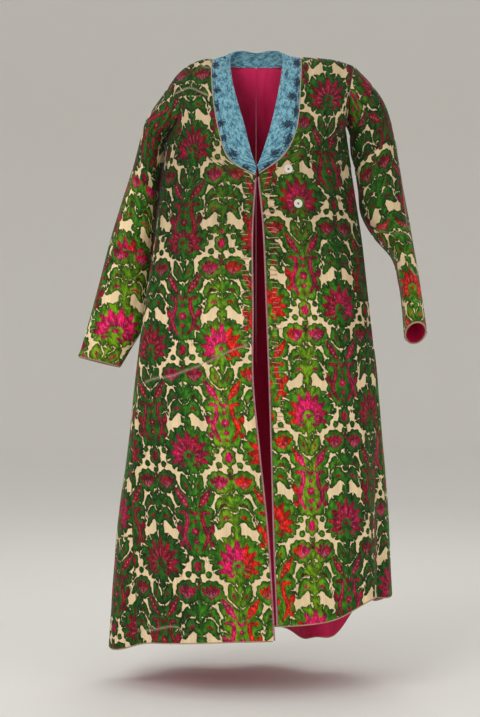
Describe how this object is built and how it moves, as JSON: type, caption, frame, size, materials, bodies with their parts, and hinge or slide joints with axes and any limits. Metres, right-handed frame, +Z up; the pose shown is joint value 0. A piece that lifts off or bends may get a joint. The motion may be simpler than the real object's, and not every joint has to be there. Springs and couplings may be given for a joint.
{
  "type": "robe",
  "caption": "Long open-fronted velvet robe with set-in pieced sleeves, side gores, a plush shawl collar and sew-through buttons, shown filled out and hollow.",
  "frame": {"origin": "base of the neck, on the shoulder line, midway between the two halves of the neckline", "axes": "+Z up towards the collar, the open fronts face -Y, +X is on the viewer's right when facing the fronts"},
  "size_m": [0.6853, 0.4067, 1.2106],
  "materials": {
    "velvet": "cut velvet figure on a ribbed cream ground, in greens, crimson and pink",
    "lining": "crimson cotton, plain weave, slightly creased",
    "plush": "light blue plush worn to dark navy in patches",
    "edging": "pale woven edging",
    "button": "glossy white"
  },
  "bodies": {
    "root": {"front_left_upper": "velvet", "front_left_lower": "velvet", "front_right": "velvet", "back_left": "velvet", "back_right": "velvet", "gore_left_upper": "velvet", "gore_left_lower": "velvet", "gore_right": "velvet", "sleeve_left_head": "velvet", "sleeve_left_upper": "velvet", "sleeve_left_elbow": "velvet", "sleeve_left_forearm": "velvet", "edging_cuff_left": "edging", "edging_front_left": "edging", "edging_hem_left": "edging", "collar_cord_left": "edging", "lining_back_left": "lining", "collar_left": "plush", "sleeve_right_head": "velvet", "sleeve_right_upper": "velvet", "sleeve_right_elbow": "velvet", "sleeve_right_forearm": "velvet", "edging_cuff_right": "edging", "edging_front_right": "edging", "edging_hem_right": "edging", "collar_cord_right": "edging", "lining_back_right": "lining", "collar_right": "plush", "collar_back": "plush", "button_upper": "button", "button_lower": "button"}
  },
  "joints": []
}
